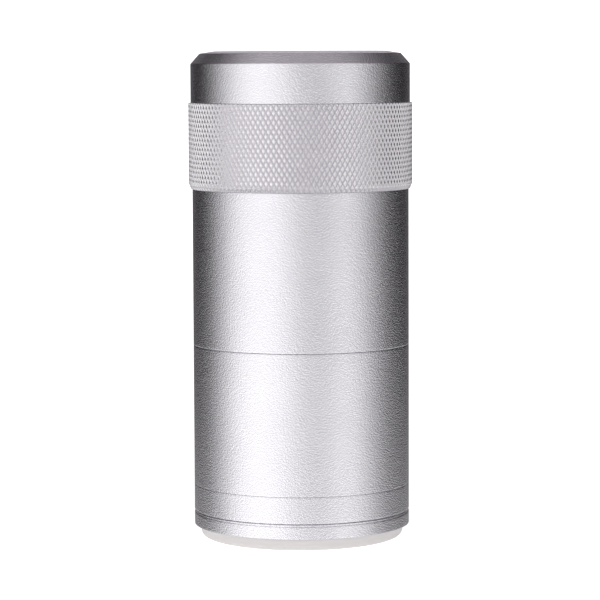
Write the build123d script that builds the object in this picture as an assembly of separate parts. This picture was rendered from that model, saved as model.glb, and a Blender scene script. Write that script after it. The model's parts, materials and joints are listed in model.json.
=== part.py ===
from build123d import *
import os
from math import hypot

# A cryptex with unmarked sections: a locked container in an aluminium cylinder. Three sections turn
# on a slotted frame tube and are set by feel, in twelve clicks each. When their gates line up with
# the slot, the cap lifts straight up and brings the container tube out with it.
# Lengths are millimetres. +Z is up and the origin is the centre of the foot's underside.
# The gates face +X. The model stands solved, with the three gates in line, and the cap down.

# Levels, from the table upwards
FOOT_TOP = 2.8
BOTTOM_RING_TOP = 5.55
SPACER_TOP = 6.2
COLLAR_FLOOR_TOP = 9.6
COLLAR_TOP = 12.05
LOWER_TOP = 43.35
UPPER_TOP = 78.25
GRIP_TOP = 97.35
CAP_SHOULDER = 106.0
CAP_RIM = 108.3
CAP_CROWN = 108.8
SEAM = 0.1  # gap between sections that turn against each other

# Outside radii
FOOT_R = 23.0
FOOT_LEAN = 0.5  # the foot's wall leans in this far towards the table
BODY_R = 24.2
GRIP_R = 25.0
CAP_R = 24.5
CAP_RIM_R = 22.45
CAP_CROWN_R = 19.2
SPACER_R = 24.05
SPACER_REBATE = (0.8, 0.2)  # depth and height of the dark line above the spacer
EDGE = 0.15  # broken edge beside each seam

# The turning sections: name of the outer shell, lowest and highest level
SECTIONS = {
    "lower": ("lower_sleeve", COLLAR_TOP + SEAM, LOWER_TOP),
    "upper": ("upper_sleeve", LOWER_TOP + SEAM, UPPER_TOP),
    "grip": ("knurled_ring", UPPER_TOP + SEAM, GRIP_TOP),
}
SHELL_BORE_R = 22.2
INSERT_R = 22.18  # the rings pressed into a shell
GRIP_FOOT_CHAMFER = 0.9
GRIP_TOP_CHAMFER = 0.2

# Frame tube that everything turns on
FRAME_R = 17.5
FRAME_BORE_R = 15.3
FRAME_TOP = 101.0
FLANGE_R = 21.7
FLANGE_TOP = COLLAR_TOP - 0.4
SLOT_WIDTH = 4.2
SLOT_BOTTOM = 13.5
KEYWAY_WIDTH = 3.0
KEYWAY_R = 16.8
TAB_WIDTH = 2.8
RUNNING_FIT = 0.1  # radial clearance of a turning ring on the frame tube
LOOSE_FIT = 0.1  # clearance round a piece that is clamped or guided
CLOSE_FIT = 0.05  # clearance round a piece that is located by the frame tube
CUT = 1.0  # how far a cut runs past the piece it goes through
CUT_SHORT = 0.4  # solid left above a tapped hole in the base

# Gates and lugs
GATE_WIDTH = 4.6
GATE_REACH = 20.7
LUG_WIDTH = 3.6
LUG_REACH = 20.2
LUG_HEIGHT = 3.0
LUG_PLAY = 0.3
BAR_REACH = 17.1
BAR_BOTTOM = 14.0
BAR_TOP = 97.0
GATE_RING_TOP = 0.6  # below the top of its section
GATE_FLANGE = 2.5
GATE_WALL = 10.0
GATE_WALL_R = 20.6

# Bearing rings and clicks
BEARING_HEIGHT = 6.0
PLATE_R = 21.6
PLATE_BOTTOM = -0.5  # from the foot of a section
PLATE_TOP = 0.7
SPRING_BOTTOM = 0.85
SPRING_TOP = 1.15
SPRING_R = (18.2, 21.2)
SPRING_GAP = 6.0
CLICKS = 12
CLICK_CIRCLE_R = 19.7
BUMP_R = 0.8
DIMPLE_R = 1.1
BUMPS = (45, 135, 225, 315)

# Container
CORE_R = 15.0
CORE_BORE_R = 13.0
CORE_MOUTH = 11.5
LEAD_IN = 0.5  # chamfers at the container's mouth
HUB_BOTTOM = 102.0
CAP_CEILING = 104.6
CAP_BORE_R = 22.6
HUB_R = 22.5
SPIGOT_R = 12.98
SPIGOT_DEPTH = 3.5
BUMPER_R = (19.6, 21.6)
BUMPER_SEAT = 0.3
BUMPER_HEIGHT = 1.2

# Retaining collar above the sections
RETAINER_R = 22.0
RETAINER_BOTTOM = 97.8
RETAINER_TOP = 100.8
DISC_SPRING_R = (18.0, 21.4)
DISC_SPRING_THICK = 0.3
DISC_SPRING_RISE = 0.4

# Screws: thread, head radius and head height
M25 = (1.25, 1.9, 1.2)
M2 = (1.0, 1.4, 0.9)
TAPPED_PLAY = 0.02
HOLE_PLAY = 0.15
HEAD_PLAY = 0.1
THREAD_PLAY = 0.1  # clearance of a small screw through the bar
SOCKET_SHARE = 0.5  # a socket's corner radius as a share of the head or thread radius
SOCKET_DEPTH = 0.6  # a socket's depth as a share of the head's height
TIP_GAP = 0.4  # from a base screw's tip to the top of its tapped hole
BOTTOM_SCREW_CIRCLE_R = 12.0
BOTTOM_HOLE_TOP = COLLAR_FLOOR_TOP - CUT_SHORT
FRAME_HOLE_TOP = FLANGE_TOP - CUT_SHORT
FRAME_SCREW_CIRCLE_R = 19.5
HUB_SCREW_CIRCLE_R = 17.3
HUB_HOLE_TOP = 107.4
QUARTERS = (0, 90, 180, 270)
DIAGONALS = (45, 135, 225, 315)
COLLAR_SCREW_ANGLES = (90, 210, 330)
COLLAR_SCREW_TIP_R = 17.0
SET_SOCKET_DEPTH = 1.4  # measured in from the collar's wall
SET_SCREW_SUNK = 0.3
LUG_SCREW_LEVELS = (20.0, 56.0, 84.0)
LUG_SCREW_TIP_R = 13.4
LUG_SCREW_SEAT_R = 16.1
CROSS_DEPTH = 0.5
CROSS_WIDTH = 0.4
CROSS_LENGTH = 1.96
PIN_R = 0.9
PIN_LENGTH = 6.0

FLOOR_PAD_R = 14.8
FLOOR_PAD_TOP = 11.1
FOOT_ROLL = 1.2
FOOT_SPIGOT_R = 19.8
FOOT_SPIGOT_TOP = 3.7
BOTTOM_RING_RECESS_R = 20.0
BOTTOM_RING_WEB = 3.9
BOTTOM_RING_BORE_R = 8.0
BOTTOM_RING_BOSS_R = 17.9


def turned(*points):
    """Solid of revolution about Z from a closed outline of (radius, level) points."""
    return revolve(Plane.XZ * make_face(Polyline(*points, close=True)), Axis.Z)


def ring(inner, outer, bottom, top):
    return turned((inner, bottom), (outer, bottom), (outer, top), (inner, top))


def post(radius, bottom, top):
    """Upright cylinder between two levels."""
    return Pos(0, 0, bottom) * Cylinder(radius, top - bottom, align=(Align.CENTER, Align.CENTER, Align.MIN))


def around(piece, circle_r, angles):
    """Copies of a piece made on the axis, moved out to a circle at each angle."""
    return [Rot(0, 0, angle) * Pos(circle_r, 0, 0) * piece for angle in angles]


def bar_cut(reach, width, bottom, top):
    """Block from the axis out to +X, used to cut gates and slots."""
    size = (reach, width, top - bottom)
    return Pos(0, 0, bottom) * Box(*size, align=(Align.MIN, Align.CENTER, Align.MIN))


def gate(bottom, top):
    return bar_cut(GATE_REACH, GATE_WIDTH, bottom, top)


def screw(size, seat, tip):
    """Socket screw that points up: the head starts at the seat's level and the thread ends at the tip."""
    thread_r, head_r, head_h = size
    body = post(head_r, seat, seat + head_h) + post(thread_r, seat + head_h, tip)
    socket = Pos(0, 0, seat) * extrude(RegularPolygon(head_r * SOCKET_SHARE, 6), head_h * SOCKET_DEPTH)
    return body - socket


def head_hole(size, seat, top):
    """Counterbore and clearance hole for a screw that points up."""
    thread_r, head_r, head_h = size
    return post(head_r + HEAD_PLAY, seat, seat + head_h) + post(thread_r + HOLE_PLAY, seat, top)


def tapped_hole(size, bottom, top):
    return post(size[0] + TAPPED_PLAY, bottom, top)


# ---- Base ----


def foot_pad():
    """Frosted pad with a rounded lower edge and a spigot that snaps into the bottom ring."""
    sole_r = FOOT_R - FOOT_LEAN
    outline = (
        Polyline((0, 0), (sole_r - FOOT_ROLL, 0))
        + RadiusArc((sole_r - FOOT_ROLL, 0), (sole_r, FOOT_ROLL), -FOOT_ROLL)
        + Polyline(
            (sole_r, FOOT_ROLL),
            (FOOT_R, FOOT_TOP),
            (FOOT_SPIGOT_R, FOOT_TOP),
            (FOOT_SPIGOT_R, FOOT_SPIGOT_TOP),
            (0, FOOT_SPIGOT_TOP),
            (0, 0),
        )
    )
    return revolve(Plane.XZ * make_face(outline), Axis.Z)


def bottom_ring():
    body = turned(
        (BOTTOM_RING_BORE_R, BOTTOM_RING_WEB),
        (BOTTOM_RING_RECESS_R, BOTTOM_RING_WEB),
        (BOTTOM_RING_RECESS_R, FOOT_TOP),
        (BODY_R - EDGE, FOOT_TOP),
        (BODY_R, FOOT_TOP + EDGE),
        (BODY_R, BOTTOM_RING_TOP - EDGE),
        (BODY_R - EDGE, BOTTOM_RING_TOP),
        (BOTTOM_RING_BOSS_R, BOTTOM_RING_TOP),
        (BOTTOM_RING_BOSS_R, SPACER_TOP),
        (BOTTOM_RING_BORE_R, SPACER_TOP),
    )
    hole = head_hole(M25, BOTTOM_RING_WEB, SPACER_TOP)
    return body - around(hole, BOTTOM_SCREW_CIRCLE_R, DIAGONALS)


def bottom_ring_screws():
    return around(screw(M25, BOTTOM_RING_WEB, BOTTOM_HOLE_TOP - TIP_GAP), BOTTOM_SCREW_CIRCLE_R, DIAGONALS)


def spacer_ring():
    """Thin metal ring between the base collar and the bottom ring, with a rebate in its upper edge."""
    bore = BOTTOM_RING_BOSS_R + LOOSE_FIT
    rebate_depth, rebate_height = SPACER_REBATE
    return turned(
        (bore, BOTTOM_RING_TOP),
        (SPACER_R, BOTTOM_RING_TOP),
        (SPACER_R, SPACER_TOP - rebate_height),
        (SPACER_R - rebate_depth, SPACER_TOP - rebate_height),
        (SPACER_R - rebate_depth, SPACER_TOP),
        (bore, SPACER_TOP),
    )


def base_collar():
    """Cup that holds the frame tube's flange and closes the container's mouth from below."""
    recess_r = FLANGE_R + LOOSE_FIT
    body = turned(
        (0, SPACER_TOP),
        (BODY_R - EDGE, SPACER_TOP),
        (BODY_R, SPACER_TOP + EDGE),
        (BODY_R, COLLAR_TOP - EDGE),
        (BODY_R - EDGE, COLLAR_TOP),
        (recess_r, COLLAR_TOP),
        (recess_r, COLLAR_FLOOR_TOP),
        (0, COLLAR_FLOOR_TOP),
    )
    body -= around(head_hole(M25, SPACER_TOP, COLLAR_FLOOR_TOP), FRAME_SCREW_CIRCLE_R, QUARTERS)
    return body - around(tapped_hole(M25, SPACER_TOP, BOTTOM_HOLE_TOP), BOTTOM_SCREW_CIRCLE_R, DIAGONALS)


def frame_screws():
    return around(screw(M25, SPACER_TOP, FRAME_HOLE_TOP - TIP_GAP), FRAME_SCREW_CIRCLE_R, QUARTERS)


def floor_pad():
    return post(FLOOR_PAD_R, COLLAR_FLOOR_TOP, FLOOR_PAD_TOP)


def frame_tube():
    """Flanged tube with the lug slot towards +X and a keyway for the index plates towards -X."""
    body = turned(
        (FRAME_BORE_R, COLLAR_FLOOR_TOP),
        (FLANGE_R, COLLAR_FLOOR_TOP),
        (FLANGE_R, FLANGE_TOP),
        (FRAME_R, FLANGE_TOP),
        (FRAME_R, FRAME_TOP - EDGE),
        (FRAME_R - EDGE, FRAME_TOP),
        (FRAME_BORE_R + EDGE, FRAME_TOP),
        (FRAME_BORE_R, FRAME_TOP - EDGE),
    )
    body -= bar_cut(FRAME_R + CUT, SLOT_WIDTH, SLOT_BOTTOM, FRAME_TOP + CUT)
    keyway = bar_cut(FRAME_R + CUT, KEYWAY_WIDTH, FLANGE_TOP, FRAME_TOP + CUT)
    keyway -= post(KEYWAY_R, 0, FRAME_TOP + 2 * CUT)
    body -= Rot(0, 0, 180) * keyway
    body -= collar_screw_shapes(M2[0] + TAPPED_PLAY, COLLAR_SCREW_TIP_R - LOOSE_FIT, FRAME_R + CUT)
    return body - around(tapped_hole(M25, COLLAR_FLOOR_TOP, FRAME_HOLE_TOP), FRAME_SCREW_CIRCLE_R, QUARTERS)


def collar_screw_shapes(radius, tip_r, head_r):
    """Radial cylinders on the retaining collar's screw axes."""
    level = (RETAINER_BOTTOM + RETAINER_TOP) / 2
    shape = Cylinder(radius, head_r - tip_r, rotation=(0, 90, 0))
    return [Rot(0, 0, angle) * Pos((tip_r + head_r) / 2, 0, level) * shape for angle in COLLAR_SCREW_ANGLES]


def index_plate(foot):
    """Thin notched plate with the dimples that a section clicks into, keyed to the frame tube."""
    bottom = foot + PLATE_BOTTOM
    top = foot + PLATE_TOP
    body = ring(FRAME_R + CLOSE_FIT, PLATE_R, bottom, top)
    tab = bar_cut(FRAME_R + CUT, TAB_WIDTH, bottom, top)
    tab -= post(KEYWAY_R + LOOSE_FIT, bottom - CUT, top + CUT)
    body += Rot(0, 0, 180) * tab
    body -= gate(bottom - CUT, top + CUT)
    first = 180 / CLICKS
    angles = [first + 360 / CLICKS * i for i in range(CLICKS)]
    return body - around(Pos(0, 0, foot + SPRING_TOP) * Sphere(DIMPLE_R), CLICK_CIRCLE_R, angles)


def disc_spring():
    """Split conical washer that takes up the play in the stack of sections."""
    inner, outer = DISC_SPRING_R
    low = RETAINER_BOTTOM - CLOSE_FIT - DISC_SPRING_THICK - DISC_SPRING_RISE
    body = turned(
        (inner, low + DISC_SPRING_RISE),
        (outer, low),
        (outer, low + DISC_SPRING_THICK),
        (inner, low + DISC_SPRING_RISE + DISC_SPRING_THICK),
    )
    return body - bar_cut(outer + CUT, SPRING_GAP, low - CUT, RETAINER_BOTTOM + CUT)


def retaining_collar():
    body = ring(FRAME_R + CLOSE_FIT, RETAINER_R, RETAINER_BOTTOM, RETAINER_TOP)
    body -= gate(RETAINER_BOTTOM - CUT, RETAINER_TOP + CUT)
    return body - collar_screw_shapes(M2[0] + TAPPED_PLAY, FRAME_R - CUT, RETAINER_R + CUT)


def collar_screws():
    """Cup-point set screws that lock the collar to the frame tube."""
    level = (RETAINER_BOTTOM + RETAINER_TOP) / 2
    hexagon = Plane.YZ * RegularPolygon(M2[0] * SOCKET_SHARE, 6)
    socket = Pos(RETAINER_R - SET_SOCKET_DEPTH, 0, level) * extrude(hexagon, SET_SOCKET_DEPTH)
    shanks = collar_screw_shapes(M2[0], COLLAR_SCREW_TIP_R, RETAINER_R - SET_SCREW_SUNK)
    return [shank - Rot(0, 0, angle) * socket for shank, angle in zip(shanks, COLLAR_SCREW_ANGLES)]


# ---- Turning sections ----


def pin_hole(top):
    """Axial hole on the joint between a shell and its gate ring, opposite the gate."""
    return Pos(-INSERT_R, 0, 0) * post(PIN_R, top - GATE_RING_TOP - PIN_LENGTH, top - GATE_RING_TOP)


def sleeve(foot, top):
    body = turned(
        (SHELL_BORE_R, foot),
        (BODY_R - EDGE, foot),
        (BODY_R, foot + EDGE),
        (BODY_R, top - EDGE),
        (BODY_R - EDGE, top),
        (SHELL_BORE_R, top),
    )
    return body - pin_hole(top)


def knurled_ring(foot, top):
    body = turned(
        (SHELL_BORE_R, foot),
        (BODY_R, foot),
        (GRIP_R, foot + GRIP_FOOT_CHAMFER),
        (GRIP_R, top - GRIP_TOP_CHAMFER),
        (GRIP_R - GRIP_TOP_CHAMFER, top),
        (SHELL_BORE_R, top),
    )
    return body - pin_hole(top)


def gate_ring(top):
    """Ring with an inward flange that blocks the lug until its notch comes round."""
    crown = top - GATE_RING_TOP
    bore = FRAME_R + RUNNING_FIT
    body = turned(
        (GATE_WALL_R, crown - GATE_WALL),
        (INSERT_R, crown - GATE_WALL),
        (INSERT_R, crown),
        (bore, crown),
        (bore, crown - GATE_FLANGE),
        (GATE_WALL_R, crown - GATE_FLANGE),
    )
    return body - gate(crown - GATE_FLANGE, crown + CUT) - pin_hole(top)


def bearing_ring(foot):
    bottom = foot + SPRING_TOP
    top = bottom + BEARING_HEIGHT
    return ring(FRAME_R + RUNNING_FIT, INSERT_R, bottom, top) - gate(bottom - CUT, top + CUT)


def click_spring(foot):
    """Split spring-steel ring whose four bumps drop into the index plate's dimples."""
    body = ring(*SPRING_R, foot + SPRING_BOTTOM, foot + SPRING_TOP)
    body -= bar_cut(SPRING_R[1] + CUT, SPRING_GAP, foot, foot + SPRING_TOP + CUT)
    hang = (Align.CENTER, Align.CENTER, Align.MAX)
    bump = Pos(0, 0, foot + SPRING_TOP) * Sphere(BUMP_R, arc_size1=-90, arc_size2=0, align=hang)
    return body + around(bump, CLICK_CIRCLE_R, BUMPS)


# ---- Cap and container ----


def top_cap():
    """Hollow cap: plain wall, broad chamfer, and a top that rises a little inside the chamfer."""
    body = turned(
        (0, CAP_CEILING),
        (CAP_BORE_R, CAP_CEILING),
        (CAP_BORE_R, GRIP_TOP + SEAM),
        (CAP_R - EDGE, GRIP_TOP + SEAM),
        (CAP_R, GRIP_TOP + SEAM + EDGE),
        (CAP_R, CAP_SHOULDER),
        (CAP_RIM_R, CAP_RIM),
        (CAP_CROWN_R, CAP_CROWN),
        (0, CAP_CROWN),
    )
    return body - around(tapped_hole(M25, CAP_CEILING, HUB_HOLE_TOP), HUB_SCREW_CIRCLE_R, DIAGONALS)


def cap_hub():
    """Disc screwed into the cap, with a spigot that closes and carries the container tube."""
    body = turned(
        (0, HUB_BOTTOM - SPIGOT_DEPTH),
        (SPIGOT_R, HUB_BOTTOM - SPIGOT_DEPTH),
        (SPIGOT_R, HUB_BOTTOM),
        (BUMPER_R[0], HUB_BOTTOM),
        (BUMPER_R[0], HUB_BOTTOM + BUMPER_SEAT),
        (BUMPER_R[1], HUB_BOTTOM + BUMPER_SEAT),
        (BUMPER_R[1], HUB_BOTTOM),
        (HUB_R, HUB_BOTTOM),
        (HUB_R, CAP_CEILING),
        (0, CAP_CEILING),
    )
    return body - around(head_hole(M25, HUB_BOTTOM, CAP_CEILING), HUB_SCREW_CIRCLE_R, DIAGONALS)


def hub_screws():
    return around(screw(M25, HUB_BOTTOM, HUB_HOLE_TOP - TIP_GAP), HUB_SCREW_CIRCLE_R, DIAGONALS)


def bumper_ring():
    top = HUB_BOTTOM + BUMPER_SEAT
    return ring(BUMPER_R[0], BUMPER_R[1], top - BUMPER_HEIGHT, top)


def lug_screw_shapes(radius, tip_r, head_r):
    shape = Cylinder(radius, head_r - tip_r, rotation=(0, 90, 0))
    return [Pos((tip_r + head_r) / 2, 0, level) * shape for level in LUG_SCREW_LEVELS]


def core_tube():
    """Container tube, open at its lower end."""
    body = turned(
        (CORE_BORE_R + LEAD_IN, CORE_MOUTH),
        (CORE_R - LEAD_IN, CORE_MOUTH),
        (CORE_R, CORE_MOUTH + LEAD_IN),
        (CORE_R, HUB_BOTTOM),
        (CORE_BORE_R, HUB_BOTTOM),
        (CORE_BORE_R, CORE_MOUTH + LEAD_IN),
    )
    return body - lug_screw_shapes(M2[0] + TAPPED_PLAY, LUG_SCREW_TIP_R - LOOSE_FIT, CORE_R + CUT)


def lug_bar():
    """Bar along the container tube, guided by the frame's slot, with one lug under each gate."""
    body = bar_cut(BAR_REACH, LUG_WIDTH, BAR_BOTTOM, BAR_TOP)
    for _, _, top in SECTIONS.values():
        lug_top = top - GATE_RING_TOP - GATE_FLANGE - LUG_PLAY
        body += bar_cut(LUG_REACH, LUG_WIDTH, lug_top - LUG_HEIGHT, lug_top)
    body -= post(CORE_R + TAPPED_PLAY, BAR_BOTTOM - CUT, BAR_TOP + CUT)
    body -= lug_screw_shapes(M2[0] + THREAD_PLAY, CORE_R - CUT, BAR_REACH + CUT)
    return body - lug_screw_shapes(M2[1] + THREAD_PLAY, LUG_SCREW_SEAT_R, BAR_REACH + CUT)


def lug_screws():
    """Pan-head screws through the bar into the container tube's wall."""
    head_top = LUG_SCREW_SEAT_R + M2[2]
    threads = lug_screw_shapes(M2[0], LUG_SCREW_TIP_R, LUG_SCREW_SEAT_R + THREAD_PLAY)
    heads = lug_screw_shapes(M2[1], LUG_SCREW_SEAT_R, head_top)
    cross = Box(CROSS_DEPTH, CROSS_WIDTH, CROSS_LENGTH) + Box(CROSS_DEPTH, CROSS_LENGTH, CROSS_WIDTH)
    drives = [Pos(head_top, 0, level) * cross for level in LUG_SCREW_LEVELS]
    return [thread + head - drive for thread, head, drive in zip(threads, heads, drives)]


def section_nodes():
    """The five pieces of each turning section."""
    nodes = {}
    for name, (shell, foot, top) in SECTIONS.items():
        nodes[shell] = knurled_ring(foot, top) if shell == "knurled_ring" else sleeve(foot, top)
        nodes[f"{name}_gate_ring"] = gate_ring(top)
        nodes[f"{name}_bearing_ring"] = bearing_ring(foot)
        nodes[f"{name}_click_spring"] = click_spring(foot)
        nodes[f"{name}_timing_pin"] = pin_hole(top)
    return nodes


def build():
    nodes = {
        "foot_pad": foot_pad(),
        "bottom_ring": bottom_ring(),
        "bottom_ring_screws": bottom_ring_screws(),
        "spacer_ring": spacer_ring(),
        "base_collar": base_collar(),
        "frame_screws": frame_screws(),
        "floor_pad": floor_pad(),
        "frame_tube": frame_tube(),
        "disc_spring": disc_spring(),
        "retaining_collar": retaining_collar(),
        "collar_screws": collar_screws(),
        "top_cap": top_cap(),
        "cap_hub": cap_hub(),
        "hub_screws": hub_screws(),
        "bumper_ring": bumper_ring(),
        "core_tube": core_tube(),
        "lug_bar": lug_bar(),
        "lug_screws": lug_screws(),
    }
    for name, (_, foot, _) in SECTIONS.items():
        nodes[f"{name}_index_plate"] = index_plate(foot)
    nodes.update(section_nodes())
    return nodes


os.makedirs("parts", exist_ok=True)
assert hypot(LUG_REACH, LUG_WIDTH / 2) < GATE_WALL_R
for name, piece in build().items():
    solids = piece if isinstance(piece, list) else [piece]
    shape = Compound(children=solids) if len(solids) > 1 else solids[0]
    shape.label = name
    export_step(shape, f"parts/{name}.step")
    print(f"{name}: {sum(solid.volume for solid in solids):.1f} mm3")
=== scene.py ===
# %% [markdown]
# # A cryptex with unmarked sections
# The object is a locked container in an aluminium cylinder. Three sections turn on a slotted tube and are
# set by feel. When their gates line up, the cap lifts out with the container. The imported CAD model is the
# frame: it says where every piece is and what moves with what. Here each visible shell is turned again
# as a fine surface, and every piece gets the finish of its real material.

# %% Load the frame
import bpy
import json
import math
import numpy as np
from mathutils import Matrix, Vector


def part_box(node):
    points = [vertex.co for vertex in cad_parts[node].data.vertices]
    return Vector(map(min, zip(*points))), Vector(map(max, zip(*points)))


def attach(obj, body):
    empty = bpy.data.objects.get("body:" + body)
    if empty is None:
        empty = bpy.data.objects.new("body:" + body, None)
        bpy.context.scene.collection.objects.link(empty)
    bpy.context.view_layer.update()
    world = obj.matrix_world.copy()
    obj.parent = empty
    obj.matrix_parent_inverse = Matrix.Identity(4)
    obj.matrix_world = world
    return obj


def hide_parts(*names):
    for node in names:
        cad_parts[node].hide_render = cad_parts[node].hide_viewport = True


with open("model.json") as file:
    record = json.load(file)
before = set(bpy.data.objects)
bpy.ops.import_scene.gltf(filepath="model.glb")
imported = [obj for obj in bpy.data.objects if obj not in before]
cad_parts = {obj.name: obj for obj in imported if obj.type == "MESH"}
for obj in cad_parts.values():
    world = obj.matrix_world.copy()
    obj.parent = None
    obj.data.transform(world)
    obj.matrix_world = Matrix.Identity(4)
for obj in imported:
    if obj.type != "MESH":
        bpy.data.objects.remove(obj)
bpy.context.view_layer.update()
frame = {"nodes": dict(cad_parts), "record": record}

# %% [markdown]
# ## Sizes
# A turned part is drawn as a radius and a level for each corner, as on a shop drawing. The outer radius
# and the two end levels of each piece are read from the frame, so the new surface always fits its place.
# Only details finer than the frame holds, such as a broken edge, are given here, in millimetres. The frame
# leaves 0.1 mm between turning sections, and a real hairline seam is closer, so each shell's foot reaches
# 0.07 mm further down.

# %% Sizes read from the frame
MM = 0.001
SEGMENTS = 360
ARC_STEPS = 5
SUPPORT = 0.3  # from the end of an arc to the extra point beside it
EDGE = 0.15
SMALL_EDGE = 0.06
SEAM_CLOSED = 0.07


def extent(node):
    """Outer radius, lowest level and highest level of a turned node, in millimetres."""
    low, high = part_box(node)
    return high.x / MM, low.z / MM, high.z / MM


for name in ("top_cap", "knurled_ring", "upper_sleeve", "lower_sleeve", "base_collar", "foot_pad"):
    print(name, [round(value, 2) for value in extent(name)])

# %% [markdown]
# ## A lathe
# Every shell of this object was cut on a lathe, so one function makes them all: an outline carried round
# the axis. The alternative is the Screw modifier, which gives the same surface but hides its formula.
# Sharp corners don't exist on a real part, so each corner is an arc, and one more point stands beside
# each arc to keep the long wall's shading straight.

# %% Outlines and surfaces


def rounded(corners):
    """Outline from corners (radius, level, rounding).

    A rounded corner becomes an arc that touches both of its sides: its centre lies on the line that
    halves the corner's angle, at the rounding divided by the sine of half the angle.
    """
    points = np.array([corner[:2] for corner in corners], float)
    outline = []
    for index, (at, rounding) in enumerate(zip(points, [corner[2] for corner in corners])):
        if not rounding:
            outline.append(at[None])
            continue
        sides = np.array([points[index - 1] - at, points[(index + 1) % len(points)] - at])
        lengths = np.linalg.norm(sides, axis=1, keepdims=True)
        sides /= lengths
        half = 0.5 * math.acos(np.clip(sides[0] @ sides[1], -1, 1))
        middle = sides.sum(0) / np.linalg.norm(sides.sum(0))
        centre = at + middle * rounding / math.sin(half)
        touch = at + sides * rounding / math.tan(half)
        sweep = math.pi - 2 * half
        share = np.linspace(0, 1, ARC_STEPS + 1)[:, None]
        spokes = touch - centre
        arc = (np.sin((1 - share) * sweep) * spokes[0] + np.sin(share * sweep) * spokes[1]) / math.sin(sweep)
        beside = touch + sides * SUPPORT
        room = lengths[:, 0] > 2 * (np.linalg.norm(touch - at, axis=1) + SUPPORT)
        outline += [beside[:1][: int(room[0])], centre + arc, beside[1:][: int(room[1])]]
    return np.concatenate(outline)


def ring_faces(rows, columns, closed):
    """Four-sided faces of a grid whose columns run round the axis. In a closed grid the last row meets the
    first."""
    row = np.arange(rows if closed else rows - 1)[:, None]
    column = np.arange(columns)[None]
    here, right = row * columns + column, row * columns + (column + 1) % columns
    above = (row + 1) % rows * columns
    return np.stack([here, right, above + (column + 1) % columns, above + column], -1).reshape(-1, 4)


def signed_volume(vertices, faces):
    """Volume inside a closed surface: the sum of the tetrahedra from the origin to each face's triangles,
    each of which is a sixth of the slanted box on its three edges."""
    corners = vertices[faces]
    fans = [(0, 1, 2), (0, 2, 3)][: faces.shape[1] - 2]
    slanted_boxes = [np.sum(corners[:, a] * np.cross(corners[:, b], corners[:, c])) for a, b, c in fans]
    return sum(slanted_boxes) / 6


def make_piece(name, vertices, face_sets, material, sharp_above=35):
    """Mesh object at the origin, in metres, from vertices in millimetres, with its faces turned outwards."""
    volume = sum(signed_volume(vertices, faces) for faces in face_sets if len(faces))
    order = slice(None) if volume > 0 else slice(None, None, -1)
    mesh = bpy.data.meshes.new(name)
    mesh.from_pydata(vertices * MM, [], [face for faces in face_sets for face in faces[:, order].tolist()])
    mesh.shade_smooth()
    mesh.set_sharp_from_angle(angle=math.radians(sharp_above))
    mesh.materials.append(material)
    piece = bpy.data.objects.new(name, mesh)
    bpy.context.scene.collection.objects.link(piece)
    print(f"{name}: {len(mesh.vertices)} vertices, {abs(volume) / 1000:.2f} cm3")
    return piece


def lathe(name, corners, material, segments=SEGMENTS):
    """Solid of revolution: each outline point (radius, level) goes to radius times the cosine and sine of
    the turn, at its level. An outline that starts and ends on the axis is closed by one point at each end."""
    outline = rounded(corners)
    solid = outline[0, 0] == 0
    profile = outline[1:-1] if solid else outline
    turn = np.arange(segments) * 2 * math.pi / segments
    radius, level = profile[:, :1], profile[:, 1:]
    grid = np.stack([radius * np.cos(turn), radius * np.sin(turn), level + 0 * turn], -1).reshape(-1, 3)
    faces = [ring_faces(len(profile), segments, not solid)]
    if solid:
        poles = np.array([[0, 0, outline[0, 1]], [0, 0, outline[-1, 1]]])
        column = np.arange(segments)
        after = (column + 1) % segments
        last = (len(profile) - 1) * segments
        first_pole = np.full(segments, len(grid))
        faces.append(np.stack([after, column, first_pole], -1))
        faces.append(np.stack([last + column, last + after, first_pole + 1], -1))
        grid = np.concatenate([grid, poles])
    return make_piece(name, grid, faces, material)


# %% [markdown]
# ## Colours and nodes
# Colours are given as the hex values that a colour picker shows and are turned into linear light by one
# function. One small helper adds a node, so each material below reads as a list of what the finish is.

# %% Material helpers


def linear(hex_colour):
    """sRGB hex to linear RGBA: values above 0.04045 go through the power curve, smaller ones are scaled."""
    srgb = np.array([int(hex_colour[i : i + 2], 16) for i in (1, 3, 5)]) / 255
    light = np.where(srgb > 0.04045, ((srgb + 0.055) / 1.055) ** 2.4, srgb / 12.92)
    return (*light.tolist(), 1.0)


def add(tree, kind, inputs=(), **settings):
    """Add a node with its settings. An input that is given a socket is linked, any other is set."""
    made = tree.nodes.new(kind)
    for key, value in settings.items():
        setattr(made, key, value)
    for key, value in dict(inputs).items():
        if isinstance(value, bpy.types.NodeSocket):
            tree.links.new(value, made.inputs[key])
        else:
            made.inputs[key].default_value = value
    return made


def new_material(name):
    """Empty material with its Principled shader. Returns the material, its tree and the shader."""
    material = bpy.data.materials.new(name)
    material.use_nodes = True
    return material, material.node_tree, material.node_tree.nodes["Principled BSDF"]


def per_mm(size_mm):
    """Texture scale, in object metres, for a pattern whose features are this many millimetres wide."""
    return 1 / (size_mm * MM)


# a Mix node has sockets for every kind of value: these are its factor, its two colours and its result
FACTOR, FIRST, SECOND, MIXED = 0, 6, 7, 2


# %% [markdown]
# ## Bead-blasted, clear anodised aluminium
# Glass beads leave the turned metal covered in tiny overlapping dents, and clear anodising keeps their
# silver colour with a breath of violet. The eye gets a soft satin sheen that breaks up into sparkle
# wherever the light changes quickly, on the flanks of the cylinder. The beads' dents are about 0.1 mm
# across, too fine to show at this size, so the grain is drawn at 0.28 mm. The dents are a height pattern
# and not a colour, because on the real metal only the slope changes.

# %% Bead-blasted aluminium
GRAIN_MM = 0.28  # coarser than the real dents, which are about 0.1 mm
BLASTED_SHADE_MM = 9.0


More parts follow.
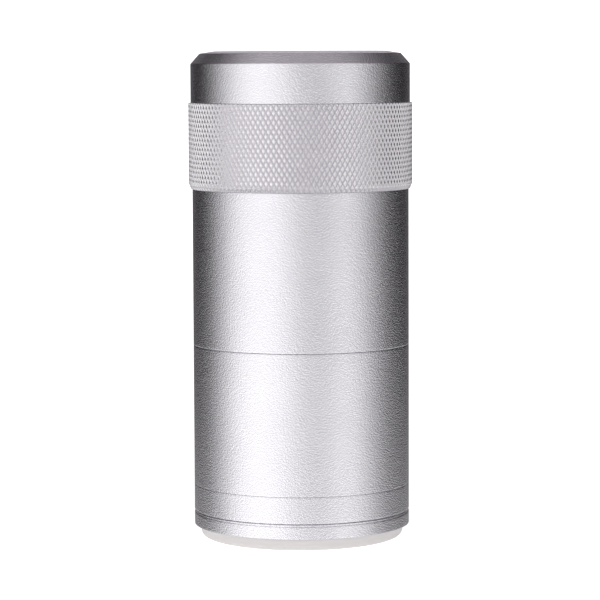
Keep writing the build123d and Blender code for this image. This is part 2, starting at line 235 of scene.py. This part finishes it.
def bead_blasted(name, dark, light, roughness, grain):
    """Satin aluminium: a fine noise tips the surface, and a broad faint one varies its colour."""
    material, tree, shader = new_material(name)
    place = add(tree, "ShaderNodeTexCoord").outputs["Object"]
    dents = add(tree, "ShaderNodeTexNoise", {"Vector": place, "Scale": per_mm(GRAIN_MM), "Detail": 1.0})
    height = dents.outputs["Fac"]
    bump = add(tree, "ShaderNodeBump", {"Height": height, "Strength": grain, "Distance": GRAIN_MM * MM})
    broad = {"Vector": place, "Scale": per_mm(BLASTED_SHADE_MM), "Detail": 3.0}
    shade = add(tree, "ShaderNodeTexNoise", broad)
    colours = {FACTOR: shade.outputs["Fac"], FIRST: linear(dark), SECOND: linear(light)}
    blend = add(tree, "ShaderNodeMix", colours, data_type="RGBA")
    tree.links.new(blend.outputs[MIXED], shader.inputs["Base Color"])
    tree.links.new(bump.outputs["Normal"], shader.inputs["Normal"])
    shader.inputs["Metallic"].default_value = 1.0
    shader.inputs["Roughness"].default_value = roughness
    return material


blasted_aluminium = bead_blasted("bead_blasted_anodised_aluminium", "#E6E3E9", "#F0EEF3", 0.25, 0.30)
knurled_aluminium = bead_blasted("diamond_knurled_aluminium", "#E6E3E7", "#F0EEF1", 0.26, 0.25)
print("bead-blasted finishes:", blasted_aluminium.name, knurled_aluminium.name)

# %% [markdown]
# ## Fine-turned metals
# The parts inside keep the marks of the lathe tool: fine rings round the axis, on walls and on faces.
# The height at a point is a noise of one number, its radius plus its level, so the marks run round both
# a wall and an end face. Feed marks of 0.08 mm are too fine to show, so they are drawn at 0.25 mm.

# %% Turned, stamped and blackened metals
FEED_MM = 0.25  # coarser than the real feed marks, which are about 0.08 mm
MARK_HEIGHT_MM = 0.1
TURNED_SHADE_MM = 6.0


def turned_metal(name, dark, light, roughness, strength):
    """Metal with rings of tool marks: the noise's one number is the point's radius plus its level."""
    material, tree, shader = new_material(name)
    place = add(tree, "ShaderNodeTexCoord").outputs["Object"]
    axes = add(tree, "ShaderNodeSeparateXYZ", {"Vector": place})
    flat = add(tree, "ShaderNodeCombineXYZ", {"X": axes.outputs["X"], "Y": axes.outputs["Y"]})
    radius = add(tree, "ShaderNodeVectorMath", {0: flat.outputs["Vector"]}, operation="LENGTH")
    run = add(tree, "ShaderNodeMath", {0: radius.outputs["Value"], 1: axes.outputs["Z"]}, operation="ADD")
    rings = add(
        tree,
        "ShaderNodeTexNoise",
        {"W": run.outputs["Value"], "Scale": per_mm(FEED_MM), "Detail": 2.0},
        noise_dimensions="1D",
    )
    marks = {"Height": rings.outputs["Fac"], "Strength": strength, "Distance": MARK_HEIGHT_MM * MM}
    bump = add(tree, "ShaderNodeBump", marks)
    broad = {"Vector": place, "Scale": per_mm(TURNED_SHADE_MM), "Detail": 3.0}
    shade = add(tree, "ShaderNodeTexNoise", broad)
    colours = {FACTOR: shade.outputs["Fac"], FIRST: linear(dark), SECOND: linear(light)}
    blend = add(tree, "ShaderNodeMix", colours, data_type="RGBA")
    tree.links.new(blend.outputs[MIXED], shader.inputs["Base Color"])
    tree.links.new(bump.outputs["Normal"], shader.inputs["Normal"])
    shader.inputs["Metallic"].default_value = 1.0
    shader.inputs["Roughness"].default_value = roughness
    return material


turned_aluminium = turned_metal("turned_anodised_aluminium", "#C9CACE", "#D6D7DA", 0.28, 0.35)
turned_brass = turned_metal("turned_brass", "#C79A4B", "#D8AE62", 0.25, 0.35)
spring_steel = turned_metal("stamped_spring_steel", "#8E9095", "#A2A4A8", 0.30, 0.15)
blackened_steel = turned_metal("black_oxide_steel", "#1B1B1D", "#2A2A2C", 0.42, 0.15)
print("turned finishes:", turned_aluminium.name, turned_brass.name)

# %% [markdown]
# ## Silicone and rubber
# The foot is a moulded pad of frosted silicone. It lets some light in and scatters it, so its edge glows
# a little instead of going dark, and its lowest 1.8 mm carry a painted shade, a darker grey towards the sole.
# Clear glass with a rough surface would let the metal behind it through, which this pad doesn't, so it is an
# opaque plastic with light scattered under its skin. The floor pad and the bumper are plain moulded rubber
# with the fine texture of a sparked mould.

# %% Moulded silicone and rubber
TEXTURE_HEIGHT_MM = 0.1
MOULDED_SHADE_MM = 5.0
# painted shade on the foot's lowest edge: the height it fades over and the grey at the sole
SOLE_SHADE_HEIGHT_MM = 1.8
SOLE_SHADE_GREY = "#C4C1C0"
SCATTER_MM = 2.0


def moulded(name, dark, light, roughness, texture_mm, strength):
    """Soft moulded piece: a fine height noise for the mould's texture and a broad faint colour noise."""
    material, tree, shader = new_material(name)
    place = add(tree, "ShaderNodeTexCoord").outputs["Object"]
    fine = add(tree, "ShaderNodeTexNoise", {"Vector": place, "Scale": per_mm(texture_mm), "Detail": 2.0})
    texture = {"Height": fine.outputs["Fac"], "Strength": strength, "Distance": TEXTURE_HEIGHT_MM * MM}
    bump = add(tree, "ShaderNodeBump", texture)
    broad = {"Vector": place, "Scale": per_mm(MOULDED_SHADE_MM), "Detail": 3.0}
    shade = add(tree, "ShaderNodeTexNoise", broad)
    colours = {FACTOR: shade.outputs["Fac"], FIRST: linear(dark), SECOND: linear(light)}
    blend = add(tree, "ShaderNodeMix", colours, data_type="RGBA")
    tree.links.new(blend.outputs[MIXED], shader.inputs["Base Color"])
    tree.links.new(bump.outputs["Normal"], shader.inputs["Normal"])
    shader.inputs["Roughness"].default_value = roughness
    return material, shader


frosted_silicone, silicone_shader = moulded("frosted_silicone", "#DAD6D6", "#E2DFDE", 0.50, 0.25, 0.15)
# painted shade: the silicone goes from a darker grey at the sole to its own colour 1.8 mm up
tree = silicone_shader.id_data
place = add(tree, "ShaderNodeTexCoord").outputs["Object"]
above_table = add(tree, "ShaderNodeSeparateXYZ", {0: place}).outputs["Z"]
painted_sole_shade = add(tree, "ShaderNodeMapRange", {"Value": above_table, "From Max": SOLE_SHADE_HEIGHT_MM * MM})
climb = painted_sole_shade.outputs["Result"]
unshaded = silicone_shader.inputs["Base Color"].links[0].from_socket
blend = add(tree, "ShaderNodeMix", {FACTOR: climb, FIRST: linear(SOLE_SHADE_GREY), SECOND: unshaded}, data_type="RGBA")
tree.links.new(blend.outputs[MIXED], silicone_shader.inputs["Base Color"])
silicone_shader.inputs["IOR"].default_value = 1.41
silicone_shader.inputs["Subsurface Weight"].default_value = 0.5
silicone_shader.inputs["Subsurface Radius"].default_value = (1.0, 0.95, 0.9)
silicone_shader.inputs["Subsurface Scale"].default_value = SCATTER_MM * MM
black_rubber = moulded("moulded_black_rubber", "#17171A", "#232326", 0.60, 0.4, 0.4)[0]
print("moulded finishes:", frosted_silicone.name, black_rubber.name)

# %% [markdown]
# ## The cap
# The cap is a hollow turning with a broad chamfer. Its top rises by half a millimetre inside the chamfer,
# so that it lies flat when it is stood on its head. A cylinder with a bevel would round every edge alike.
# Here the chamfer, the crown and the broken edges all differ, so each corner of the outline has its own
# rounding. The outline runs from the middle of the ceiling down the bore and up the outside.

# %% Top cap
CHAMFER_RADIAL = 2.05
CHAMFER_AXIAL = 2.3
CROWN_RISE = 0.5
CROWN_SLOPE = 3.25
CAP_BORE_R = 22.6
CAP_CEILING = 4.2

radius, low, high = extent("top_cap")
low -= SEAM_CLOSED
rim = high - CROWN_RISE
cap = lathe(
    "cap_shell",
    [
        (0, high - CAP_CEILING, 0),
        (CAP_BORE_R, high - CAP_CEILING, 0.2),
        (CAP_BORE_R, low, 0.1),
        (radius, low, SMALL_EDGE),
        (radius, rim - CHAMFER_AXIAL, 0.12),
        (radius - CHAMFER_RADIAL, rim, 0.15),
        (radius - CHAMFER_RADIAL - CROWN_SLOPE, high, 2.0),
        (0, high, 0),
    ],
    blasted_aluminium,
)

# %% [markdown]
# ## The sleeves and the base
# Each sleeve is a plain tube. What makes the seam between two of them is the broken edge on both sides
# of a hairline gap: it catches the light as a thin bright line or goes dark, depending on the side. A
# groove cut into one long tube would draw the same line, but the sections turn on their own, so each is a
# closed tube. The base is a band, a thin spacer that is set in a little, and a ring below it. The spacer
# has a rebate in its upper edge, which draws the darker of the two lines round the foot.

# %% Sleeves, band, spacer and bottom ring
SHELL_BORE_R = 22.2


def tube_corners(node, foot_edge):
    """Four corners of a sleeve between the node's end levels."""
    outer, bottom, top = extent(node)
    bottom -= SEAM_CLOSED
    foot = [(SHELL_BORE_R, bottom, 0.05), (outer, bottom, foot_edge)]
    return [*foot, (outer, top, EDGE), (SHELL_BORE_R, top, 0.05)]


upper = lathe("upper_shell", tube_corners("upper_sleeve", EDGE), blasted_aluminium)
lower = lathe("lower_shell", tube_corners("lower_sleeve", SMALL_EDGE), blasted_aluminium)

SPACER_BORE_R = 18.0
REBATE_DEPTH = 0.8
REBATE_HEIGHT = 0.2
radius, low, high = extent("spacer_ring")
spacer = lathe(
    "spacer_band",
    [
        (SPACER_BORE_R, low, 0),
        (radius, low, 0.05),
        (radius, high - REBATE_HEIGHT, 0.05),
        (radius - REBATE_DEPTH, high - REBATE_HEIGHT, 0.03),
        (radius - REBATE_DEPTH, high, 0.03),
        (SPACER_BORE_R, high, 0),
    ],
    blasted_aluminium,
)

COLLAR_BORE_R = 21.8
COLLAR_FLOOR = 3.4
radius, low, high = extent("base_collar")
band = lathe(
    "base_band",
    [
        (0, low, 0),
        (radius, low, SMALL_EDGE),
        (radius, high, SMALL_EDGE),
        (COLLAR_BORE_R, high, 0.05),
        (COLLAR_BORE_R, low + COLLAR_FLOOR, 0.2),
        (0, low + COLLAR_FLOOR, 0),
    ],
    blasted_aluminium,
)

RECESS_R = 20.0
RING_BORE_R = 8.0
RING_BOSS_R = 17.9
WEB = 1.1
SPACER_THICKNESS = 0.65
radius, low, high = extent("bottom_ring")
shoulder = high - SPACER_THICKNESS
bottom = lathe(
    "bottom_band",
    [
        (RING_BORE_R, low + WEB, 0.1),
        (RECESS_R, low + WEB, 0.1),
        (RECESS_R, low, 0.1),
        (radius, low, SMALL_EDGE),
        (radius, shoulder, SMALL_EDGE),
        (RING_BOSS_R, shoulder, 0.05),
        (RING_BOSS_R, high, 0.05),
        (RING_BORE_R, high, 0.1),
    ],
    blasted_aluminium,
)

# %% [markdown]
# ## The foot
# A silicone pad whose wall leans in a little towards a rounded lower edge. It is pressed into the bottom
# ring, and only its lowest few millimetres show. It is round like the metal parts, so the same lathe
# function makes it, where a modelled and subdivided disc would need more faces for the same edge.

# %% Foot pad
FOOT_ROLL = 1.3
FOOT_LEAN = 0.5
FOOT_VISIBLE = 2.8
FOOT_SPIGOT_R = 19.8
radius, low, high = extent("foot_pad")
foot = lathe(
    "silicone_foot",
    [
        (0, low, 0),
        (radius - FOOT_LEAN, low, FOOT_ROLL),
        (radius, FOOT_VISIBLE, 0.1),
        (FOOT_SPIGOT_R, FOOT_VISIBLE, 0.1),
        (FOOT_SPIGOT_R, high, 0.2),
        (0, high, 0),
    ],
    frosted_silicone,
)

# %% [markdown]
# ## The knurled ring
# Two knurling wheels press two sets of slanting V-grooves into the ring, and what stands between them are
# flat-topped diamonds. The grooves are real geometry, because their outline shows at the edge of the ring
# and a bump map would leave it smooth. Every grid point's radius is a formula: the crest or the chamfer
# that ends the ring, less the depth of the nearer groove, because the wheels run over the chamfers too.
# Each grid square is split along the groove that it is nearest to, so the grooves of both directions stay
# straight.

# %% Knurled ring
RIDGES = 134
STEPS_PER_RIDGE = 8
KNURL_SLANT = math.radians(30)
GROOVE_DEPTH = 0.3
GROOVE_HALF_WIDTH = 0.2  # as a share of the ridge pitch
FOOT_CHAMFER_AXIAL = 1.2
FOOT_CHAMFER_RADIAL = 0.45
FOOT_CHAMFER_ROWS = 7
TOP_CHAMFER = 0.1

crest, ring_foot, ring_top = extent("knurled_ring")
ring_foot -= SEAM_CLOSED
ridge_pitch = 2 * math.pi * crest / RIDGES
axial_pitch = ridge_pitch / math.tan(KNURL_SLANT)
print(f"knurl: {RIDGES} ridges each way, {ridge_pitch * math.cos(KNURL_SLANT):.2f} mm across the ridges")


def groove_distance(turn, level):
    """Distance to the nearest groove of each direction, as a share of the ridge pitch. A direction's
    grooves lie where the turn, counted in ridges, plus or minus the level, counted in pitches, is whole."""
    count = turn * RIDGES / (2 * math.pi)
    climb = level / axial_pitch
    phases = np.stack([count + climb, count - climb])
    return np.abs(phases - np.round(phases))


def knurl_radius(turn, level):
    """Radius of the plain ring, with its two end chamfers, less the V-groove's depth, which falls in a
    straight line from the groove's middle to its edge."""
    nearest = groove_distance(turn, level).min(0)
    depth = GROOVE_DEPTH * np.clip(1 - nearest / GROOVE_HALF_WIDTH, 0, 1)
    from_foot = crest - FOOT_CHAMFER_RADIAL * np.clip(1 - (level - ring_foot) / FOOT_CHAMFER_AXIAL, 0, 1)
    from_top = crest - TOP_CHAMFER * np.clip(1 - (ring_top - level) / TOP_CHAMFER, 0, 1)
    return np.minimum(from_foot, from_top) - depth


def knurled_surface():
    """Closed grid: up the knurled wall, across the top, down the bore and back across the foot."""
    step = axial_pitch / STEPS_PER_RIDGE
    chamfer_top = ring_foot + FOOT_CHAMFER_AXIAL
    first = math.ceil(chamfer_top / step)
    last = math.floor((ring_top - TOP_CHAMFER) / step)
    levels = np.concatenate(
        [
            np.linspace(ring_foot, chamfer_top, FOOT_CHAMFER_ROWS),
            np.arange(first, last + 1) * step,
            [ring_top - TOP_CHAMFER, ring_top],
        ]
    )
    levels = np.unique(np.round(levels, 5))
    columns = RIDGES * STEPS_PER_RIDGE
    turn = np.arange(columns) * 2 * math.pi / columns
    wall = knurl_radius(turn[None], levels[:, None])
    bore = np.array([[SHELL_BORE_R, ring_top], [SHELL_BORE_R, ring_foot]])
    radii = np.concatenate([wall, np.repeat(bore[:, :1], columns, 1)])
    heights = np.concatenate([levels, bore[:, 1]])[:, None] + 0 * turn
    grid = np.stack([radii * np.cos(turn), radii * np.sin(turn), heights], -1).reshape(-1, 3)
    quads = ring_faces(len(heights), columns, True)
    middle_turn = (turn + math.pi / columns)[None]
    middle_level = (levels[:-1, None] + levels[1:, None]) / 2
    falling, rising = groove_distance(middle_turn, middle_level)
    split_rising = np.ones(len(quads), bool)
    split_rising[: falling.size] = (rising < falling).reshape(-1)
    up = quads[split_rising]
    down = quads[~split_rising]
    triangles = [up[:, [0, 1, 2]], up[:, [0, 2, 3]], down[:, [0, 1, 3]], down[:, [1, 2, 3]]]
    return grid, triangles


grip = make_piece("knurled_grip", *knurled_surface(), knurled_aluminium, sharp_above=20)

# %% [markdown]
# ## Painted shade in the grooves
# The groove floors are given a slightly greyer colour than the crests, a painted shade for the knurl's
# recesses. The colour could be painted on the vertices, but it only depends on how far a point is from the
# axis, so the material
# works it out from the radius: the painted grey at the floors and the blasted metal's own colour at the
# crests.

# %% Painted shade on the groove floors
# painted shade: the groove floors are greyed to darken the knurl's recesses
GROOVE_SHADE_GREY = "#E4E1E6"

tree = knurled_aluminium.node_tree
shader = tree.nodes["Principled BSDF"]
place = add(tree, "ShaderNodeTexCoord").outputs["Object"]
across = add(tree, "ShaderNodeVectorMath", {0: place, 1: (1, 1, 0)}, operation="MULTIPLY").outputs[0]
reach = add(tree, "ShaderNodeVectorMath", {0: across}, operation="LENGTH").outputs["Value"]
span = {"Value": reach, "From Min": (crest - GROOVE_DEPTH) * MM, "From Max": crest * MM}
rise = add(tree, "ShaderNodeMapRange", span).outputs["Result"]
bare = shader.inputs["Base Color"].links[0].from_socket
# painted shade: grey at the groove floors, rising to the metal's own colour at the crests
blend = add(tree, "ShaderNodeMix", {FACTOR: rise, FIRST: linear(GROOVE_SHADE_GREY), SECOND: bare}, data_type="RGBA")
tree.links.new(blend.outputs[MIXED], shader.inputs["Base Color"])
print(f"groove floors, {crest - GROOVE_DEPTH:.2f} mm from the axis:", GROOVE_SHADE_GREY)

# %% [markdown]
# ## The container tube
# It shows only when the cap is lifted. Its mouth is at the bottom and has a small lead-in, so that it
# finds the frame tube again. The CAD tube's facets would show on such a long bright wall, so this one is
# turned again on the lathe, and its outline stops at the radius that the frame gives.

# %% Container tube
CONTAINER_BORE_R = 13.0
MOUTH = 0.5
radius, low, high = extent("core_tube")
container = lathe(
    "container_tube",
    [
        (CONTAINER_BORE_R, low + MOUTH, 0.1),
        (CONTAINER_BORE_R + MOUTH, low, 0.1),
        (radius - MOUTH, low, 0.1),
        (radius, low + MOUTH, 0.1),
        (radius, high, 0.05),
        (CONTAINER_BORE_R, high, 0.05),
    ],
    turned_aluminium,
)

# %% [markdown]
# ## Joining the pieces to the frame
# Each new shell rides on the body that its CAD piece belongs to and stands in for that piece. The
# mechanism inside shows only when the cap is lifted. Its CAD shapes already have their real edges and
# holes, so they stay, and each only gets its real finish.

# %% Bodies, stand-ins and finishes
body_of = {node: body for body, nodes in frame["record"]["behaviour"]["bodies"].items() for node in nodes}
slot_of = {entry["node"]: entry["material_slot"] for entry in frame["record"]["subparts"]}
SHELLS = {
    "top_cap": cap,
    "knurled_ring": grip,
    "upper_sleeve": upper,
    "lower_sleeve": lower,
    "base_collar": band,
    "spacer_ring": spacer,
    "bottom_ring": bottom,
    "foot_pad": foot,
    "core_tube": container,
}
for node, piece in SHELLS.items():
    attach(piece, body_of[node])
    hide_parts(node)

FINISHES = {
    "anodised_aluminium": blasted_aluminium,
    "knurled_aluminium": knurled_aluminium,
    "turned_aluminium": turned_aluminium,
    "turned_brass": turned_brass,
    "spring_steel": spring_steel,
    "blackened_steel": blackened_steel,
    "frosted_silicone": frosted_silicone,
    "black_rubber": black_rubber,
}
for node, piece in frame["nodes"].items():
    piece.data.materials.clear()
    piece.data.materials.append(FINISHES[slot_of[node]])
print("shells replaced:", len(SHELLS), "CAD pieces finished:", len(frame["nodes"]) - len(SHELLS))

# %% [markdown]
# ## The table
# A sheet of matt white paper lies under the object and sweeps up behind it, lit from within as a light
# table is, so that the object stands on almost pure white. A flat plane would end in a horizon line, so
# the sheet bends up in a quarter circle. Mirror-like rays pass through the sheet to the studio behind it,
# which already holds the table's glow, so the metal isn't lit from below twice. Seen from underneath the
# sheet is clear, so that the sole can be looked at.

# %% Paper sweep
SWEEP_HALF_WIDTH = 0.30
SWEEP_FRONT = -0.55
SWEEP_BACK = 0.90
SWEEP_RADIUS = 0.30
SWEEP_HEIGHT = 0.70
PAPER_GLOW = 0.75


def sweep_grid():
    """Flat from the front to the back, then a quarter circle, then straight up, the same right across."""
    bend = np.linspace(0, math.pi / 2, 25)
    across = np.linspace(-SWEEP_HALF_WIDTH, SWEEP_HALF_WIDTH, 3)
    wall = SWEEP_BACK + SWEEP_RADIUS
    along = np.concatenate([[SWEEP_FRONT], SWEEP_BACK + SWEEP_RADIUS * np.sin(bend), [wall]])
    up = np.concatenate([[0], SWEEP_RADIUS * (1 - np.cos(bend)), [SWEEP_HEIGHT]])
    return np.stack(np.broadcast_arrays(across[None], along[:, None], up[:, None]), -1)


grid = sweep_grid()
rows, columns = grid.shape[:2]
corner = (np.arange(rows - 1)[:, None] * columns + np.arange(columns - 1)).reshape(-1)
sheet_mesh = bpy.data.meshes.new("paper_sweep")
quads = np.stack([corner, corner + 1, corner + columns + 1, corner + columns], -1)
sheet_mesh.from_pydata(grid.reshape(-1, 3), [], quads.tolist())
sheet_mesh.shade_smooth()
paper, tree, shader = new_material("matt_white_paper")
shader.inputs["Base Color"].default_value = linear("#F4F4F4")
shader.inputs["Roughness"].default_value = 0.9
shader.inputs["Emission Color"].default_value = linear("#FFFFFF")
shader.inputs["Emission Strength"].default_value = PAPER_GLOW
underneath = add(tree, "ShaderNodeNewGeometry").outputs["Backfacing"]
clear = add(tree, "ShaderNodeBsdfTransparent")
sides = add(tree, "ShaderNodeMixShader", {0: underneath, 1: shader.outputs[0], 2: clear.outputs[0]})
tree.links.new(sides.outputs[0], tree.nodes["Material Output"].inputs["Surface"])
sheet_mesh.materials.append(paper)
sweep = bpy.data.objects.new("paper_sweep", sheet_mesh)
bpy.context.scene.collection.objects.link(sweep)
sweep.visible_glossy = False
print("paper sweep:", rows, "by", columns, "points")

# %% [markdown]
# ## The studio
# Two tall soft boxes with feathered edges stand left and right of the camera. Each draws one broad streak
# down the cylinder, with a dimmer band between them. Black flags beside and behind them leave the flanks
# dark, the ceiling glows faintly, the backdrop shows above the flags, and the white table lights
# everything from below. Area lamps would have hard edges, so the studio is painted on the world instead,
# as a function of direction: the azimuth counted from the camera's side, and the height above the horizon.

# %% Soft boxes, flags, ceiling, backdrop and table glow
AMBIENT = 0.02
ROOM_TINT = "#FFF7FF"
# direction, angle out to which it is full, angle beyond which it is gone (degrees), and radiance
LEFT_BOX = (-43.5, 9, 77, 1.04)
RIGHT_BOX = (47.8, -15, 65, 0.90)
BOX_HEIGHTS = (15, 33, 60, 1.0)
TABLE_GLOW = (-90, 74, 84, 0.62)
CEILING_GLOW = (90, 5, 71, 0.35)
FLAG_GLOW = (180, 23, 30, 0.12)
BACKDROP = (180, 4, 20, 0.6)
BACKDROP_HEIGHTS = (24, 6, 14, 1.0)

world = bpy.data.worlds.new("soft_studio")
world.use_nodes = True
tree = world.node_tree
tree.nodes.clear()
way = add(tree, "ShaderNodeSeparateXYZ", {0: add(tree, "ShaderNodeTexCoord").outputs["Generated"]})
to_camera = add(tree, "ShaderNodeMath", {0: way.outputs["Y"], 1: -1.0}, operation="MULTIPLY").outputs[0]
azimuth = add(tree, "ShaderNodeMath", {0: way.outputs["X"], 1: to_camera}, operation="ARCTAN2").outputs[0]
turned_back = add(tree, "ShaderNodeMath", {0: azimuth}, operation="ABSOLUTE").outputs[0]
height = add(tree, "ShaderNodeMath", {0: way.outputs["Z"]}, operation="ARCSINE").outputs[0]


def glow(angle, centre, full, gone, radiance, beyond=0.0):
    """Light by how far an angle is from a centre: the full radiance inside one distance, what is left
    beyond another, and a smooth step between. Degrees."""
    off = add(tree, "ShaderNodeMath", {0: angle, 1: math.radians(centre)}, operation="SUBTRACT").outputs[0]
    away = add(tree, "ShaderNodeMath", {0: off}, operation="ABSOLUTE").outputs[0]
    reach = {"Value": away, "From Min": math.radians(gone), "From Max": math.radians(full)}
    reach |= {"To Min": beyond, "To Max": radiance}
    return add(tree, "ShaderNodeMapRange", reach, interpolation_type="SMOOTHSTEP").outputs[0]


print("soft boxes at", LEFT_BOX[0], "and", RIGHT_BOX[0], "degrees from the camera")

# %% [markdown]
# ## Adding up the light
# The two soft boxes share one profile over the height, so their sum is multiplied by it before the table's
# glow is added. The room is the ceiling, the flags and the backdrop, and has a breath of violet, as the
# anodised metal shows in its dim parts. Looked at directly, the world is plain white.

# %% World
boxes = {0: glow(azimuth, *LEFT_BOX), 1: glow(azimuth, *RIGHT_BOX)}
boxes = add(tree, "ShaderNodeMath", boxes, operation="ADD").outputs[0]
lamp_light = {0: boxes, 1: glow(height, *BOX_HEIGHTS), 2: glow(height, *TABLE_GLOW)}
lamp_light = add(tree, "ShaderNodeMath", lamp_light, operation="MULTIPLY_ADD").outputs[0]
walls = {0: glow(height, *CEILING_GLOW, AMBIENT), 1: glow(turned_back, *FLAG_GLOW)}
walls = add(tree, "ShaderNodeMath", walls, operation="ADD").outputs[0]
room_light = {0: glow(turned_back, *BACKDROP), 1: glow(height, *BACKDROP_HEIGHTS), 2: walls}
room_light = add(tree, "ShaderNodeMath", room_light, operation="MULTIPLY_ADD").outputs[0]
lamps = add(tree, "ShaderNodeBackground", {"Color": linear("#FFFFFF"), "Strength": lamp_light})
room = add(tree, "ShaderNodeBackground", {"Color": linear(ROOM_TINT), "Strength": room_light})
lit = add(tree, "ShaderNodeAddShader", {0: lamps.outputs[0], 1: room.outputs[0]})
white = add(tree, "ShaderNodeBackground", {"Color": linear("#FFFFFF"), "Strength": 1.0})
seen = add(tree, "ShaderNodeLightPath").outputs["Is Camera Ray"]
shown = add(tree, "ShaderNodeMixShader", {0: seen, 1: lit.outputs[0], 2: white.outputs[0]})
add(tree, "ShaderNodeOutputWorld", {"Surface": shown.outputs[0]})
bpy.context.scene.world = world
bpy.context.scene.view_settings.view_transform = "Standard"
print("world nodes:", len(tree.nodes))

# %% [markdown]
# ## The camera
# A long lens at the height of the cap looks slightly down, so the seams lower down are curved more than
# those near the top. Its place, tilt and lens were worked out from how the object's edges and seams run.

# %% Camera
CAMERA_DISTANCE = 0.60117
CAMERA_SIDE = -0.00023
CAMERA_HEIGHT = 0.10649
CAMERA_TILT = 5.08
CAMERA_ROLL = -0.24
CAMERA_LENS = 161.1
FULL_FRAME_MM = 36
NEAR_CLIP = 0.01

lens = bpy.data.cameras.new("camera")
lens.lens = CAMERA_LENS
lens.sensor_width = FULL_FRAME_MM
lens.clip_start = NEAR_CLIP
camera = bpy.data.objects.new("camera", lens)
tilt = Matrix.Rotation(math.radians(90 - CAMERA_TILT), 4, "X")
roll = Matrix.Rotation(math.radians(CAMERA_ROLL), 4, "Z")
camera.matrix_world = Matrix.Translation((CAMERA_SIDE, -CAMERA_DISTANCE, CAMERA_HEIGHT)) @ tilt @ roll
bpy.context.scene.collection.objects.link(camera)
bpy.context.scene.camera = camera
print(f"camera: {CAMERA_LENS} mm lens, {CAMERA_DISTANCE:.2f} m away, tilted {CAMERA_TILT} degrees down")
